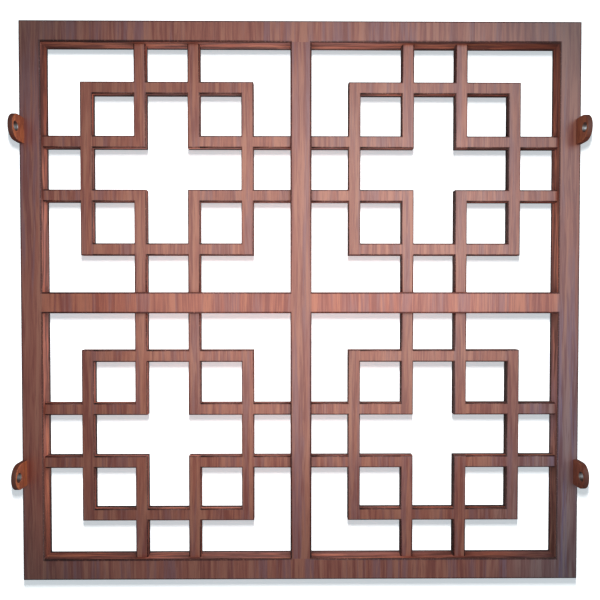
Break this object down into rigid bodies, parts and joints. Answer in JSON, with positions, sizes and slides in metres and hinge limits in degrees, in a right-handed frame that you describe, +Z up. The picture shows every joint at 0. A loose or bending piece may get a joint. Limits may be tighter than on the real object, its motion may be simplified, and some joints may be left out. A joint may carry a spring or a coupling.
{
  "type": "lattice window",
  "caption": "Square aluminium lattice window: tube frame crossed by a mullion and transom, a ring with interlocking legs in each pane, wood-grain finish and drilled fixing lugs.",
  "frame": {"origin": "middle of the bottom rail's underside, where the panel stands on the sill of its opening", "axes": "+Z up along the stiles, +X to the right seen from the front, the front and the lugs face -Y"},
  "size_m": [1, 0.0813, 1],
  "materials": {
    "frame": "dark red-brown wood-grain coating, satin",
    "lattice": "dark red-brown wood-grain coating, satin",
    "lug": "dark red-brown coating, satin"
  },
  "bodies": {
    "root": {"left_stile": "frame", "right_stile": "frame", "bottom_rail": "frame", "top_rail": "frame", "mullion": "frame", "left_transom": "frame", "right_transom": "frame", "lower_left_ring_left": "lattice", "lower_left_ring_right": "lattice", "lower_left_ring_bottom": "lattice", "lower_left_ring_top": "lattice", "lower_left_bottom_leg_left": "lattice", "lower_left_bottom_leg_right": "lattice", "lower_left_top_leg_left": "lattice", "lower_left_top_leg_right": "lattice", "lower_left_left_leg_lower": "lattice", "lower_left_left_leg_upper": "lattice", "lower_left_right_leg_lower": "lattice", "lower_left_right_leg_upper": "lattice", "lower_right_ring_left": "lattice", "lower_right_ring_right": "lattice", "lower_right_ring_bottom": "lattice", "lower_right_ring_top": "lattice", "lower_right_bottom_leg_left": "lattice", "lower_right_bottom_leg_right": "lattice", "lower_right_top_leg_left": "lattice", "lower_right_top_leg_right": "lattice", "lower_right_left_leg_lower": "lattice", "lower_right_left_leg_upper": "lattice", "lower_right_right_leg_lower": "lattice", "lower_right_right_leg_upper": "lattice", "upper_left_ring_left": "lattice", "upper_left_ring_right": "lattice", "upper_left_ring_bottom": "lattice", "upper_left_ring_top": "lattice", "upper_left_bottom_leg_left": "lattice", "upper_left_bottom_leg_right": "lattice", "upper_left_top_leg_left": "lattice", "upper_left_top_leg_right": "lattice", "upper_left_left_leg_lower": "lattice", "upper_left_left_leg_upper": "lattice", "upper_left_right_leg_lower": "lattice", "upper_left_right_leg_upper": "lattice", "upper_right_ring_left": "lattice", "upper_right_ring_right": "lattice", "upper_right_ring_bottom": "lattice", "upper_right_ring_top": "lattice", "upper_right_bottom_leg_left": "lattice", "upper_right_bottom_leg_right": "lattice", "upper_right_top_leg_left": "lattice", "upper_right_top_leg_right": "lattice", "upper_right_left_leg_lower": "lattice", "upper_right_left_leg_upper": "lattice", "upper_right_right_leg_lower": "lattice", "upper_right_right_leg_upper": "lattice", "lower_left_lug": "lug", "lower_right_lug": "lug", "upper_left_lug": "lug", "upper_right_lug": "lug"}
  },
  "joints": []
}
